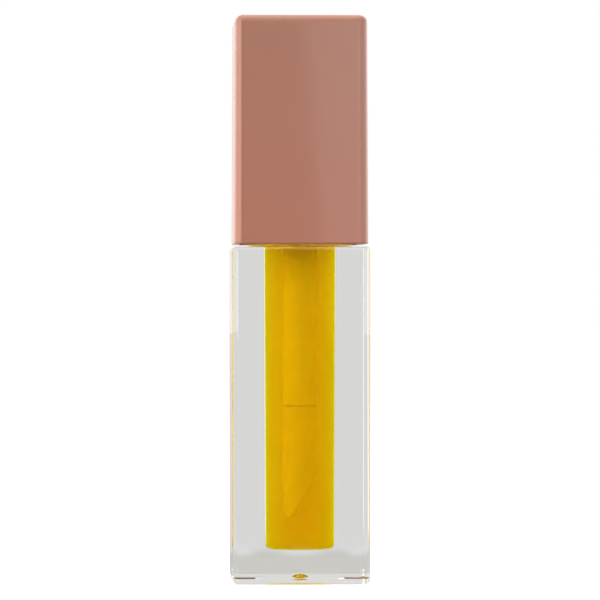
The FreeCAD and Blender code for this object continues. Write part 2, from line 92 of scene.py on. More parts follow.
def profile(points, arc=8, step=None):
    """points: (r, z, fillet). Returns bands of (r, z, nr, nz): straight runs and fillets, with exact normals.
    The surface's outside is on the right of the path's direction."""
    out = []
    n = len(points)
    corner = []
    for i, (r, z, f) in enumerate(points):
        if i in (0, n - 1) or f <= 0:
            corner.append(None)
            continue
        (r0, z0, _), (r1, z1, _) = points[i - 1], points[i + 1]
        a = (r - r0, z - z0)
        b = (r1 - r, z1 - z)
        la, lb = math.hypot(*a), math.hypot(*b)
        a = (a[0] / la, a[1] / la)
        b = (b[0] / lb, b[1] / lb)
        turn = math.atan2(a[0] * b[1] - a[1] * b[0], a[0] * b[0] + a[1] * b[1])
        t = f * math.tan(abs(turn) / 2)
        start = (r - a[0] * t, z - a[1] * t)
        end = (r + b[0] * t, z + b[1] * t)
        side = 1 if turn > 0 else -1
        centre = (start[0] - a[1] * f * side, start[1] + a[0] * f * side)
        corner.append((start, end, centre, turn, a))
    here = points[0][:2]
    for i in range(1, n):
        r, z = points[i][:2]
        c = corner[i]
        stop = c[0] if c else (r, z)
        d = (stop[0] - here[0], stop[1] - here[1])
        length = math.hypot(*d)
        if length > 1e-9:
            nr, nz = d[1] / length, -d[0] / length
            m = max(1, int(math.ceil(length / step))) if step else 1
            out.append([(here[0] + d[0] * k / m, here[1] + d[1] * k / m, nr, nz) for k in range(m + 1)])
        if c:
            start, end, centre, turn, a = c
            m = max(3, int(math.ceil(arc * abs(turn) / (0.5 * math.pi))))
            band = []
            for k in range(m + 1):
                t = turn * k / m
                ca, sa = math.cos(t), math.sin(t)
                v = (start[0] - centre[0], start[1] - centre[1])
                p = (centre[0] + v[0] * ca - v[1] * sa, centre[1] + v[0] * sa + v[1] * ca)
                dr = (a[0] * ca - a[1] * sa, a[0] * sa + a[1] * ca)
                band.append((p[0], p[1], dr[1], -dr[0]))
            out.append(band)
            stop = end
        here = stop
    return out


class Skin:
    """Collects rings and faces, then makes the Blender object with its shading normals."""

    def __init__(self, around):
        self.a = around
        self.v, self.f, self.nrm, self.mat = [], [], [], []
        self.last = None

    def add_ring(self, pts):
        first = len(self.v)
        self.v.extend(pts)
        return first

    def band(self, rings, material=0, join=True):
        """rings: lists of (point, normal). The first ring is welded to the one before it when join is True."""
        n = self.a.n
        start = 0
        if join and self.last is not None:
            prev = self.last
            start = 1
        else:
            prev = self.add_ring([p for p, _ in rings[0]])
            start = 1
        prev_n = [m for _, m in rings[0]]
        for ring in rings[start:]:
            cur = self.add_ring([p for p, _ in ring])
            cur_n = [m for _, m in ring]
            for i in range(n):
                j = (i + 1) % n
                self.f.append((prev + i, prev + j, cur + j, cur + i))
                self.nrm.append((prev_n[i], prev_n[j], cur_n[j], cur_n[i]))
                self.mat.append(material)
            prev, prev_n = cur, cur_n
        self.last = prev
        self.last_n = prev_n

    def close(self, point, normal, material=0, start=False, ring=0):
        """A fan from the first ring (start) or the last ring to one point on the axis."""
        n = self.a.n
        c = len(self.v)
        self.v.append(point)
        base = ring if start else self.last
        for i in range(n):
            j = (i + 1) % n
            if start:
                self.f.append((c, base + j, base + i))
            else:
                self.f.append((base + i, base + j, c))
            self.nrm.append((normal,) * 3)
            self.mat.append(material)

    def make(self, name, materials):
        me = bpy.data.meshes.new(name)
        me.from_pydata([tuple(x * MM for x in p) for p in self.v], [], self.f)
        for m in materials:
            me.materials.append(m)
        for poly, m in zip(me.polygons, self.mat):
            poly.material_index = m
            poly.use_smooth = True
        loops = []
        for tri in self.nrm:
            for x in tri:
                length = math.sqrt(sum(q * q for q in x)) or 1.0
                loops.append(tuple(q / length for q in x))
        me.normals_split_custom_set(loops)
        me.update()
        ob = bpy.data.objects.new(name, me)
        sc.collection.objects.link(ob)
        return ob


def turned(skin, bands, material=0, kind="c", shape=None, bump=None):
    """Sweeps profile bands round the axis. The arguments shape and bump are not used."""
    for b in bands:
        rings = []
        for r, z, nr, nz in b:
            pts = skin.a.circle(r) if kind == "c" else skin.a.square(r)
            rings.append([((p[0], p[1], z), (m[0] * nr, m[1] * nr, nz)) for p, m in pts])
        skin.band(rings, material)


def solid_of_revolution(name, points, materials, n=128, arc=8, step=None):
    """A closed turned piece whose outline starts and ends on the axis, or is a closed loop off it."""
    around = Round(n)
    skin = Skin(around)
    loop = points[0][0] > 1e-9
    bands = profile(points, arc, step)
    turned(skin, bands)
    if loop:
        last, n0 = skin.last, around.n
        swap = {last + i: i for i in range(n0)}
        skin.f = [tuple(swap.get(i, i) for i in f) for f in skin.f]
        skin.v = skin.v[:last]
    else:
        collapse(skin)
    return skin.make(name, materials)


def collapse(skin):
    """Rings of radius zero at either end become one point each."""
    n = skin.a.n
    keep, index = [], {}
    for i, p in enumerate(skin.v):
        if math.hypot(p[0], p[1]) < 1e-7:
            key = round(p[2], 6)
            if key in index:
                index[i] = index[key]
                continue
            index[key] = len(keep)
        index[i] = len(keep)
        keep.append(p)
    faces, normals, mats = [], [], []
    for f, m, k in zip(skin.f, skin.nrm, skin.mat):
        ids, ns = [], []
        for i, x in zip(f, m):
            j = index[i]
            if j not in ids:
                ids.append(j)
                ns.append(x)
        if len(ids) > 2:
            faces.append(tuple(ids))
            normals.append(tuple(ns))
            mats.append(k)
    skin.v, skin.f, skin.nrm, skin.mat = keep, faces, normals, mats


# ------------------------------------------------------------------ materials
def material(name):
    m = bpy.data.materials.new(name)
    m.use_nodes = True
    nt = m.node_tree
    return m, nt, nt.nodes["Principled BSDF"], nt.nodes["Material Output"]


def node(nt, kind, **values):
    n = nt.nodes.new(kind)
    for k, v in values.items():
        if k in n.inputs:
            n.inputs[k].default_value = v
        else:
            setattr(n, k, v)
    return n


def noise(nt, scale, detail=2.0, rough=0.5, stretch=(1, 1, 1)):
    co = nt.nodes.new("ShaderNodeTexCoord")
    mp = nt.nodes.new("ShaderNodeMapping")
    mp.inputs["Scale"].default_value = stretch
    nt.links.new(co.outputs["Object"], mp.inputs["Vector"])
    t = nt.nodes.new("ShaderNodeTexNoise")
    t.inputs["Scale"].default_value = scale
    t.inputs["Detail"].default_value = detail
    t.inputs["Roughness"].default_value = rough
    nt.links.new(mp.outputs["Vector"], t.inputs["Vector"])
    return t


def bump(nt, source, strength, distance, target, after=None):
    b = nt.nodes.new("ShaderNodeBump")
    b.inputs["Strength"].default_value = strength
    b.inputs["Distance"].default_value = distance
    nt.links.new(source, b.inputs["Height"])
    if after is not None:
        nt.links.new(after, b.inputs["Normal"])
    nt.links.new(b.outputs["Normal"], target)
    return b.outputs["Normal"]


def ramp(nt, source, stops):
    r = nt.nodes.new("ShaderNodeValToRGB")
    els = r.color_ramp.elements
    while len(els) < len(stops):
        els.new(0.5)
    for e, (pos, col) in zip(els, stops):
        e.position = pos
        e.color = col if len(col) == 4 else (*col, 1.0)
    nt.links.new(source, r.inputs["Fac"])
    return r.outputs["Color"]


N_PLASTIC = 1.57
N_GEL = 1.537

# clear moulded plastic
CLEAR, nt, bs, out = material("clear_plastic")
bs.inputs["Base Color"].default_value = (0.985, 0.985, 0.978, 1)
bs.inputs["Roughness"].default_value = 0.0
bs.inputs["IOR"].default_value = N_PLASTIC
bs.inputs["Transmission Weight"].default_value = 1.0
wave = noise(nt, 90.0, 1.0, 0.4, (1, 1, 0.6))
bump(nt, wave.outputs["Fac"], 0.05, 0.0002, bs.inputs["Normal"])

# the same wall where the gloss wets it: plastic against gel, so it mirrors only at a glancing angle
WETTED, nt, bs, out = material("wetted_wall")
bs.inputs["Base Color"].default_value = (1, 1, 1, 1)
bs.inputs["Roughness"].default_value = 0.0
bs.inputs["IOR"].default_value = N_PLASTIC / N_GEL
bs.inputs["Transmission Weight"].default_value = 1.0


def gel(name, ior):
    m, nt, bs, out = material(name)
    bs.inputs["Base Color"].default_value = (1, 1, 1, 1)
    bs.inputs["Roughness"].default_value = 0.0
    bs.inputs["IOR"].default_value = ior
    bs.inputs["Transmission Weight"].default_value = 1.0
    v = nt.nodes.new("ShaderNodeVolumeAbsorption")
    v.inputs["Color"].default_value = (0.9999, 0.9968, 0.0, 1)
    v.inputs["Density"].default_value = 20000.0
    sca = nt.nodes.new("ShaderNodeVolumeScatter")
    sca.inputs["Color"].default_value = (1, 1, 1, 1)
    sca.inputs["Density"].default_value = 130.0
    sca.inputs["Anisotropy"].default_value = 0.3
    both = nt.nodes.new("ShaderNodeAddShader")
    nt.links.new(v.outputs["Volume"], both.inputs[0])
    nt.links.new(sca.outputs["Volume"], both.inputs[1])
    nt.links.new(both.outputs[0], out.inputs["Volume"])
    return m


GEL_SIDE = gel("gel_in_wall", 1.0)
GEL_TOP = gel("gel_surface", N_GEL)

# opaque cap
CAP, nt, bs, out = material("cap_plastic")
tone = noise(nt, 60.0, 2.0, 0.5)
# painted light: a redder colour for the lower part of the cap and a plainer one for the upper part stand in for warmer
# light falling on the cap's lower part
high = ramp(nt, tone.outputs["Fac"], [(0.3, (0.466, 0.197, 0.130)), (0.7, (0.478, 0.203, 0.135))])
low = ramp(nt, tone.outputs["Fac"], [(0.3, (0.520, 0.200, 0.130)), (0.7, (0.532, 0.206, 0.135))])
co = nt.nodes.new("ShaderNodeTexCoord")
sep = nt.nodes.new("ShaderNodeSeparateXYZ")
nt.links.new(co.outputs["Object"], sep.inputs[0])
rise = nt.nodes.new("ShaderNodeMapRange")
rise.inputs["From Min"].default_value = 0.060
rise.inputs["From Max"].default_value = 0.098
nt.links.new(sep.outputs["Z"], rise.inputs["Value"])
# painted light: the colour turns from the redder lower colour at z 60 mm to the plainer upper colour at z 98 mm
both = nt.nodes.new("ShaderNodeMixRGB")
nt.links.new(rise.outputs["Result"], both.inputs["Fac"])
nt.links.new(low, both.inputs["Color1"])
nt.links.new(high, both.inputs["Color2"])
nt.links.new(both.outputs["Color"], bs.inputs["Base Color"])
bs.inputs["Roughness"].default_value = 0.26
bs.inputs["IOR"].default_value = 1.5
bs.inputs["Coat Weight"].default_value = 0.5
bs.inputs["Coat Roughness"].default_value = 0.03
bs.inputs["Coat IOR"].default_value = 1.5
swell = noise(nt, 60.0, 1.0, 0.4, (1, 1, 0.5))
fine = noise(nt, 1400.0, 2.0, 0.6)
n1 = bump(nt, swell.outputs["Fac"], 0.20, 0.00003, bs.inputs["Normal"])
nt.links.new(n1, bs.inputs["Coat Normal"])
bump(nt, fine.outputs["Fac"], 0.03, 0.00002, bs.inputs["Normal"], n1)

INNER, nt, bs, out = material("inner_cap_plastic")
tone = noise(nt, 120.0, 3.0, 0.5)
col = ramp(nt, tone.outputs["Fac"], [(0.3, (0.45, 0.205, 0.142)), (0.7, (0.47, 0.217, 0.150))])
nt.links.new(col, bs.inputs["Base Color"])
bs.inputs["Roughness"].default_value = 0.42
bump(nt, noise(nt, 2600.0, 2.0, 0.6).outputs["Fac"], 0.15, 0.00002, bs.inputs["Normal"])


def milky(name, colour, rough, sss=0.25):
    m, nt, bs, out = material(name)
    tone = noise(nt, 150.0, 2.0, 0.5)
    a = tuple(c * 0.97 for c in colour)
    col = ramp(nt, tone.outputs["Fac"], [(0.3, a), (0.7, colour)])
    nt.links.new(col, bs.inputs["Base Color"])
    bs.inputs["Roughness"].default_value = rough
    bs.inputs["Subsurface Weight"].default_value = sss
    bs.inputs["Subsurface Radius"].default_value = (1.0, 0.8, 0.6)
    bs.inputs["Subsurface Scale"].default_value = 0.0008
    bump(nt, noise(nt, 2200.0, 2.0, 0.5).outputs["Fac"], 0.1, 0.00002, bs.inputs["Normal"])
    return m


WIPER = milky("wiper_plastic", (0.88, 0.88, 0.86), 0.38)
GASKET = milky("gasket_foam", (0.82, 0.82, 0.82), 0.7, 0.1)
STEM = milky("stem_plastic", (0.93, 0.925, 0.91), 0.28)
TIP = milky("tip_plastic", (0.80, 0.79, 0.76), 0.4)

WET_STEM, nt, bs, out = material("stem_wet_with_gloss")
tone = noise(nt, 150.0, 2.0, 0.5)
col = ramp(nt, tone.outputs["Fac"], [(0.3, (0.84, 0.74, 0.09)), (0.7, (0.86, 0.77, 0.12))])
nt.links.new(col, bs.inputs["Base Color"])
bs.inputs["Roughness"].default_value = 0.35
bs.inputs["IOR"].default_value = 1.12

FLOCK, nt, bs, out = material("flock")
tone = noise(nt, 1800.0, 3.0, 0.6)
col = ramp(nt, tone.outputs["Fac"], [(0.25, (0.84, 0.72, 0.10)), (0.75, (0.92, 0.81, 0.15))])
nt.links.new(col, bs.inputs["Base Color"])
bs.inputs["Roughness"].default_value = 0.85
bs.inputs["Sheen Weight"].default_value = 0.15
bs.inputs["IOR"].default_value = 1.12
bs.inputs["Sheen Roughness"].default_value = 0.4
bump(nt, noise(nt, 3500.0, 4.0, 0.7).outputs["Fac"], 0.8, 0.00012, bs.inputs["Normal"])

# ------------------------------------------------------------------ bottle
SHOULDER, GEL_Z = 59.85, 61.6
R_TOP, R_FLOOR, FLOOR_Z = 6.48, 6.26, 5.88
NECK_R, NECK_TOP = 7.8, 74.3
HALF, CORNER = 12.25, 1.2


def neck_ridge(angle, z):
    """How far the neck's thread stands out at this angle (0 to 2 pi) and height."""
    deg = math.degrees(angle) % 360.0
    if deg > 265.0:
        return 0.0
    ends = min(1.0, deg / 6.0, (265.0 - deg) / 6.0)
    off = abs(z - (65.0 + 3.0 * deg / 360.0))
    if off >= 0.75:
        return 0.0
    full = 0.85 * min(1.0, (0.75 - off) / 0.4)
    return full * ends


box_around = Around(HALF, CORNER, flats=34, arc=9)
skin = Skin(box_around)
GATE_R, GATE_H, ROOF = 1.9, 0.64, 1.05
ball = (GATE_R ** 2 + GATE_H ** 2) / (2 * GATE_H)
dome = []
for k in range(1, 9):
    t = math.asin(1.85 / ball) * k / 8
    dome.append((ball * math.sin(t), ROOF + GATE_H - ball + ball * math.cos(t), -math.sin(t), -math.cos(t)))
turned(skin, [dome])
n0 = 0
lip = profile([dome[-1][:2] + (0,), (GATE_R, ROOF, 0.1), (8.0, 0.8, 0.2), (8.0, 0.0, 0.25), (8.6, 0.0, 0)], arc=6)
turned(skin, lip)


def sink(u, z):
    """Depth of the sink mark at u along a face and height z."""
    if abs(u) > 10.6 or z > 19.9:
        return 0.0
    rise = min(1.0, max(0.0, (z - 1.1) / 2.5))
    fade = rise * rise * (3 - 2 * rise)
    side = 0.55 + 0.45 * -math.cos(math.pi * u / 6.3)
    out = min(1.0, (10.6 - abs(u)) / 3.0)
    side *= out * out * (3 - 2 * out)
    return SINK * fade * side * math.exp(-(((z - 9.0) / 4.0) ** 2))


SINK = 0.045


def sunk_ring(z):
    out = []
    for (k, kind, v), (p, m) in zip(box_around.items, box_around.square(HALF)):
        if kind != "f":
            out.append(((p[0], p[1], z), (m[0], m[1], 0.0)))
            continue
        t = (-m[1], m[0])
        u = p[0] * t[0] + p[1] * t[1]
        f = sink(u, z)
        e = 0.02
        fu = (sink(u + e, z) - sink(u - e, z)) / (2 * e)
        fz = (sink(u, z + e) - sink(u, z - e)) / (2 * e)
        out.append(((p[0] - f * m[0], p[1] - f * m[1], z), (m[0] + fu * t[0], m[1] + fu * t[1], fz)))
    return out


edge = profile([(8.6, 0.0, 0), (HALF, 0.0, 1.1), (HALF, SHOULDER, 0.6), (9.9, SHOULDER, 0)], arc=10, step=None)
first = edge[0]
# flat foot from the round recess to the square outline
start = [((p[0], p[1], 0.0), (0, 0, -1)) for p, _ in box_around.circle(8.6)]
for b in edge:
    rings = []
    for r, z, nr, nz in b:
        if r < 10.5 and z < 1:
            rings.append(start)
        elif r < 10.5:
            rings.append([((p[0], p[1], z), (0, 0, 1)) for p, _ in box_around.circle(9.9)])
        else:
            rings.append([((p[0], p[1], z), (m[0] * nr, m[1] * nr, nz)) for p, m in box_around.square(r)])
    if len(rings) == 2 and abs(b[0][1] - b[1][1]) > 20:
        # the long sides: rings between, close together low down where the thick base has drawn the faces in
        z0, z1 = b[0][1], b[1][1]
        levels = [z0 + (20.0 - z0) * k / 28 for k in range(28)] + [20.0 + (z1 - 20.0) * k / 8 for k in range(9)]
        rings = [sunk_ring(z) for z in levels]
    skin.band(rings)
turned(skin, profile([(9.9, SHOULDER, 0), (9.6, SHOULDER, 0.15), (9.6, SHOULDER + 0.45, 0.12), (NECK_R, SHOULDER + 0.45, 0.2), (NECK_R, 62.6, 0)], arc=5))
rings = []
rows = 88
for k in range(rows + 1):
    z = 62.6 + (70.2 - 62.6) * k / rows
    ring = []
    for a in box_around.angle:
        aa = a % (2 * math.pi)
        r = NECK_R + neck_ridge(aa, z)
        e = 0.02
        dz = (neck_ridge(aa, z + e) - neck_ridge(aa, z - e)) / (2 * e)
        da = (neck_ridge(aa + 0.003, z) - neck_ridge(aa - 0.003, z)) / 0.006 / r
        nx, ny = math.cos(aa), math.sin(aa)
        ring.append(((r * nx, r * ny, z), (nx + da * ny, ny - da * nx, -dz)))
    rings.append(ring)
skin.band(rings)
turned(skin, profile([(NECK_R, 70.2, 0), (NECK_R, NECK_TOP, 0.35), (R_TOP, NECK_TOP, 0.12), (R_TOP, GEL_Z, 0)], arc=6))
turned(skin, profile([(R_TOP, GEL_Z, 0), (R_TOP, SHOULDER, 0), (R_FLOOR, FLOOR_Z, 0.9), (0.4, FLOOR_Z, 0)], arc=10, step=6.0), material=1)
skin.close((0, 0, FLOOR_Z), (0, 0, 1), material=1)
skin.close((0, 0, ROOF + GATE_H), (0, 0, -1), start=True)
bottle = skin.make("bottle_clear", [CLEAR, WETTED])
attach(bottle, "bottle")
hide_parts("bottle")

# ------------------------------------------------------------------ gloss
g = 0.03
around = Around(HALF, CORNER, flats=34, arc=9)
skin = Skin(around)
turned(skin, profile([(0.4, FLOOR_Z + g, 0), (R_FLOOR - g, FLOOR_Z + g, 0.88), (R_TOP - g, SHOULDER, 0), (R_TOP - g, GEL_Z - 0.05, 0)], arc=10, step=6.0))
turned(skin, profile([(R_TOP - g, GEL_Z - 0.05, 0), (5.9, GEL_Z - 0.25, 0.5), (0.4, GEL_Z - 0.3, 0)], arc=10, step=2.0), material=1)
skin.close((0, 0, GEL_Z - 0.3), (0, 0, 1), material=1)
skin.close((0, 0, FLOOR_Z + g), (0, 0, -1), start=True)
gloss = skin.make("gloss_gel", [GEL_SIDE, GEL_TOP])
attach(gloss, "gloss")
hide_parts("gloss_fill")

# ------------------------------------------------------------------ outer cap
CB, CT = 60.35, 101.0
draft = math.tan(math.radians(0.28))
CAP_HALF = 11.95
cap_around = Around(CAP_HALF, 1.7, flats=34, arc=9)
skin = Skin(cap_around)
top_half = CAP_HALF - (CT - CB) * draft
bands = profile([(11.0, CB, 0), (CAP_HALF, CB, 0.25), (top_half, CT, 1.4), (top_half - 1.45, CT, 0)], arc=12)


def cap_ring(r, z, nr, nz):
    return [((p[0], p[1], z), (m[0] * nr, m[1] * nr, nz)) for p, m in cap_around.square(r)]


# from the middle of the roof's inside, down the hollow, round the rim, up the outside and over the top
inner_half = CAP_HALF - 1.3
inner_top = inner_half - (CT - 1.6 - CB) * draft
hollow = []
for s in (0.25, 0.5, 0.75):
    hollow.append([((p[0] * s, p[1] * s, CT - 1.6), (0, 0, -1)) for p, _ in cap_around.square(0, inner_top - 0.8, 0.8)])
hollow.append([((p[0], p[1], CT - 1.6), (0, 0, -1)) for p, _ in cap_around.square(0, inner_top - 0.8, 0.8)])
skin.band(hollow)
wall = []
for k in range(9):
    t = k / 8
    h = inner_top + (inner_half - inner_top) * t
    z = CT - 1.6 + (CB + 0.15 - CT + 1.6) * t
    wall.append([((p[0], p[1], z), (-m[0], -m[1], 0)) for p, m in cap_around.square(0, h - 0.8, 0.8)])
skin.band(wall)
rim = []
for k in range(5):
    t = 0.5 * math.pi * k / 4
    rim.append([((p[0], p[1], CB + 0.15 - 0.15 * math.sin(t)), (-m[0] * math.cos(t), -m[1] * math.cos(t), -math.sin(t))) for p, m in cap_around.square(0, inner_half - 0.8, 0.8 + 0.15 - 0.15 * math.cos(t))])
skin.band(rim)
for i, b in enumerate(bands):
    if i == 0:
        rings = [[((p[0], p[1], CB), (0, 0, -1)) for p, m in cap_around.square(0, inner_half - 0.8, 0.95)], cap_ring(*b[-1])]
    else:
        rings = [cap_ring(*q) for q in b]
    if len(rings) == 2 and abs(b[0][1] - b[1][1]) > 20:
        (r0, z0, nr, nz), (r1, z1, _, _) = b
        rings = [cap_ring(r0 + (r1 - r0) * k / 12, z0 + (z1 - z0) * k / 12, nr, nz) for k in range(13)]
    skin.band(rings)
last = bands[-1][-1]
tops = [[((p[0] * s, p[1] * s, CT), (0, 0, 1)) for p, _ in cap_around.square(last[0])] for s in (1.0, 0.75, 0.5, 0.25)]
skin.band(tops)
skin.close((0, 0, CT), (0, 0, 1))
skin.close((0, 0, CT - 1.6), (0, 0, -1), start=True)
cap = skin.make("cap_shell", [CAP])
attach(cap, "cap")
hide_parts("outer_cap")

# ------------------------------------------------------------------ stem
stem = solid_of_revolution(
    "wand_stem",
    [(0.0, 46.0, 0), (1.95, 46.0, 0.1), (1.95, 31.4, 0.15), (3.14, 31.4, 0.6), (3.14, 61.3, 0), (3.14, 88.02, 0.05), (4.6, 88.02, 0.1), (4.6, 89.4, 0.3), (0.0, 89.4, 0)],
    [STEM, WET_STEM], n=96, arc=8, step=4.0,
)
for poly in stem.data.polygons:
    if poly.center[2] < 61.3 * MM:
        poly.material_index = 1
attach(stem, "cap")
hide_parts("applicator_stem")

# ------------------------------------------------------------------ carried-over CAD pieces
for name, m in (
    ("wiper", WIPER),
    ("sealing_gasket", GASKET),
    ("inner_cap", INNER),
    ("applicator_core", TIP),
    ("applicator_flock", FLOCK),
):
    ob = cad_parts[name]
    for s in ob.material_slots:
        s.material = m
    if not ob.material_slots:
        ob.data.materials.append(m)
    for poly in ob.data.polygons:
        poly.use_smooth = True
    sm = ob.modifiers.new("edges", "EDGE_SPLIT")
    sm.split_angle = math.radians(32)

# ------------------------------------------------------------------ stage
floor_me = bpy.data.meshes.new("floor")
R = 6.0
seg = 96
vs = [(0, 0, -0.00002)] + [(R * math.cos(2 * math.pi * i / seg), R * math.sin(2 * math.pi * i / seg), -0.00002) for i in range(seg)]
floor_me.from_pydata(vs, [], [(0, 1 + i, 1 + (i + 1) % seg) for i in range(seg)])
floor = bpy.data.objects.new("floor", floor_me)
sc.collection.objects.link(floor)
FLOOR, nt, bs, out = material("floor")
nt.nodes.remove(bs)
diff = node(nt, "ShaderNodeBsdfDiffuse")
diff.inputs["Color"].default_value = (0.55, 0.55, 0.55, 1)
em = node(nt, "ShaderNodeEmission")
em.inputs["Strength"].default_value = 0.80
add = node(nt, "ShaderNodeAddShader")
nt.links.new(diff.outputs[0], add.inputs[0])
nt.links.new(em.outputs[0], add.inputs[1])
co = nt.nodes.new("ShaderNodeTexCoord")
sep = nt.nodes.new("ShaderNodeSeparateXYZ")
nt.links.new(co.outputs["Object"], sep.inputs[0])
BAND = 0.8
far = nt.nodes.new("ShaderNodeMapRange")
far.interpolation_type = "SMOOTHSTEP"
far.inputs["From Min"].default_value = 0.075
far.inputs["From Max"].default_value = 0.105
nt.links.new(sep.outputs["Y"], far.inputs["Value"])
tone = nt.nodes.new("ShaderNodeMixRGB")
tone.inputs["Color1"].default_value = (0.60, 0.592, 0.565, 1)
tone.inputs["Color2"].default_value = (0.73, 0.73, 0.722, 1)
nt.links.new(far.outputs["Result"], tone.inputs["Fac"])
bounce = node(nt, "ShaderNodeEmission")
nt.links.new(tone.outputs["Color"], bounce.inputs["Color"])
absx = nt.nodes.new("ShaderNodeMath")
absx.operation = "ABSOLUTE"
nt.links.new(sep.outputs["X"], absx.inputs[0])
flank = nt.nodes.new("ShaderNodeMapRange")
flank.interpolation_type = "SMOOTHSTEP"
flank.inputs["From Min"].default_value = 0.5
flank.inputs["From Max"].default_value = 1.3
flank.inputs["To Min"].default_value = 1.0
flank.inputs["To Max"].default_value = 1.3
deep = node(nt, "ShaderNodeLightPath")
inside = nt.nodes.new("ShaderNodeMapRange")
inside.inputs["From Min"].default_value = 3.0
inside.inputs["From Max"].default_value = 4.0
inside.inputs["To Min"].default_value = 1.3
inside.inputs["To Max"].default_value = 3.4
nt.links.new(deep.outputs["Transmission Depth"], inside.inputs["Value"])
nt.links.new(inside.outputs["Result"], flank.inputs["To Max"])
behind = nt.nodes.new("ShaderNodeMapRange")
behind.inputs["From Min"].default_value = 3.0
behind.inputs["From Max"].default_value = 4.0
behind.inputs["To Min"].default_value = 1.0
behind.inputs["To Max"].default_value = 1.1
nt.links.new(deep.outputs["Transmission Depth"], behind.inputs["Value"])
nt.links.new(behind.outputs["Result"], flank.inputs["To Min"])
absy = nt.nodes.new("ShaderNodeMath")
absy.operation = "ABSOLUTE"
nt.links.new(sep.outputs["Y"], absy.inputs[0])
wide = nt.nodes.new("ShaderNodeMath")
wide.operation = "ADD"
nt.links.new(absy.outputs[0], wide.inputs[0])
wide.inputs[1].default_value = 0.03
slant = nt.nodes.new("ShaderNodeMath")
slant.operation = "DIVIDE"
nt.links.new(absx.outputs[0], slant.inputs[0])
nt.links.new(wide.outputs[0], slant.inputs[1])
nt.links.new(slant.outputs[0], flank.inputs["Value"])
lean = nt.nodes.new("ShaderNodeMath")
lean.operation = "DIVIDE"
nt.links.new(sep.outputs["X"], lean.inputs[0])
nt.links.new(wide.outputs[0], lean.inputs[1])
band = []
for a, b, c, d, src in ((-0.48, -0.44, 0.0, 1.0, lean.outputs[0]), (-0.37, -0.31, 1.0, 0.0, lean.outputs[0]), (0.10, 0.20, 0.0, 1.0, sep.outputs["Y"])):
    m = nt.nodes.new("ShaderNodeMapRange")
    m.interpolation_type = "SMOOTHSTEP"
    m.inputs["From Min"].default_value = a
    m.inputs["From Max"].default_value = b
    m.inputs["To Min"].default_value = c
    m.inputs["To Max"].default_value = d
    nt.links.new(src, m.inputs["Value"])
    band.append(m.outputs["Result"])
total = band[0]
for r in band[1:]:
    m = nt.nodes.new("ShaderNodeMath")
    m.operation = "MULTIPLY"
    nt.links.new(total, m.inputs[0])
    nt.links.new(r, m.inputs[1])
    total = m.outputs[0]
gain = nt.nodes.new("ShaderNodeMath")
gain.operation = "MULTIPLY_ADD"
nt.links.new(total, gain.inputs[0])
gain.inputs[1].default_value = BAND
nt.links.new(flank.outputs["Result"], gain.inputs[2])
near = nt.nodes.new("ShaderNodeMapRange")
near.interpolation_type = "SMOOTHSTEP"
near.inputs["From Min"].default_value = -0.16
near.inputs["From Max"].default_value = -0.12
near.inputs["To Min"].default_value = 0.04
near.inputs["To Max"].default_value = 1.0
nt.links.new(sep.outputs["Y"], near.inputs["Value"])
through = nt.nodes.new("ShaderNodeMath")
through.operation = "COMPARE"
nt.links.new(deep.outputs["Transmission Depth"], through.inputs[0])
through.inputs[1].default_value = 1.5
through.inputs[2].default_value = 0.6
some = nt.nodes.new("ShaderNodeMath")
some.operation = "MULTIPLY"
nt.links.new(through.outputs[0], some.inputs[0])
some.inputs[1].default_value = 0.85
ahead = nt.nodes.new("ShaderNodeMath")
ahead.operation = "MAXIMUM"
nt.links.new(near.outputs["Result"], ahead.inputs[0])
nt.links.new(some.outputs[0], ahead.inputs[1])
glow = nt.nodes.new("ShaderNodeMath")
glow.operation = "MULTIPLY"
nt.links.new(ahead.outputs[0], glow.inputs[0])
nt.links.new(gain.outputs[0], glow.inputs[1])
lp = node(nt, "ShaderNodeLightPath")
soft = nt.nodes.new("ShaderNodeMath")
soft.operation = "MULTIPLY_ADD"
nt.links.new(lp.outputs["Is Diffuse Ray"], soft.inputs[0])
soft.inputs[1].default_value = -0.6
soft.inputs[2].default_value = 1.0
eased = nt.nodes.new("ShaderNodeMath")
eased.operation = "MULTIPLY"
nt.links.new(glow.outputs[0], eased.inputs[0])
nt.links.new(soft.outputs[0], eased.inputs[1])
nt.links.new(eased.outputs[0], bounce.inputs["Strength"])
lp = node(nt, "ShaderNodeLightPath")
mix = node(nt, "ShaderNodeMixShader")
nt.links.new(lp.outputs["Is Camera Ray"], mix.inputs["Fac"])
nt.links.new(bounce.outputs[0], mix.inputs[1])
nt.links.new(add.outputs[0], mix.inputs[2])
# from below, the floor is not there
geo = node(nt, "ShaderNodeNewGeometry")
gone = node(nt, "ShaderNodeBsdfTransparent")
side_mix = node(nt, "ShaderNodeMixShader")
nt.links.new(geo.outputs["Backfacing"], side_mix.inputs["Fac"])
nt.links.new(mix.outputs[0], side_mix.inputs[1])
nt.links.new(gone.outputs[0], side_mix.inputs[2])
nt.links.new(side_mix.outputs[0], out.inputs["Surface"])
floor_me.materials.append(FLOOR)

world = bpy.data.worlds.new("studio")
sc.world = world
world.use_nodes = True
nt = world.node_tree
nt.nodes.clear()
wo = nt.nodes.new("ShaderNodeOutputWorld")
seen = nt.nodes.new("ShaderNodeBackground")
seen.inputs["Color"].default_value = (1, 1, 1, 1)
seen.inputs["Strength"].default_value = 1.0
rest = nt.nodes.new("ShaderNodeBackground")
rest.inputs["Color"].default_value = (1, 1, 0.985, 1)
co = nt.nodes.new("ShaderNodeTexCoord")
sep = nt.nodes.new("ShaderNodeSeparateXYZ")
nt.links.new(co.outputs["Generated"], sep.inputs[0])


def span(source, a, b, c=0.0, d=1.0):
    m = nt.nodes.new("ShaderNodeMapRange")
    m.interpolation_type = "SMOOTHSTEP"
    m.inputs["From Min"].default_value = a
    m.inputs["From Max"].default_value = b
    m.inputs["To Min"].default_value = c
    m.inputs["To Max"].default_value = d
    nt.links.new(source, m.inputs["Value"])
    return m.outputs["Result"]


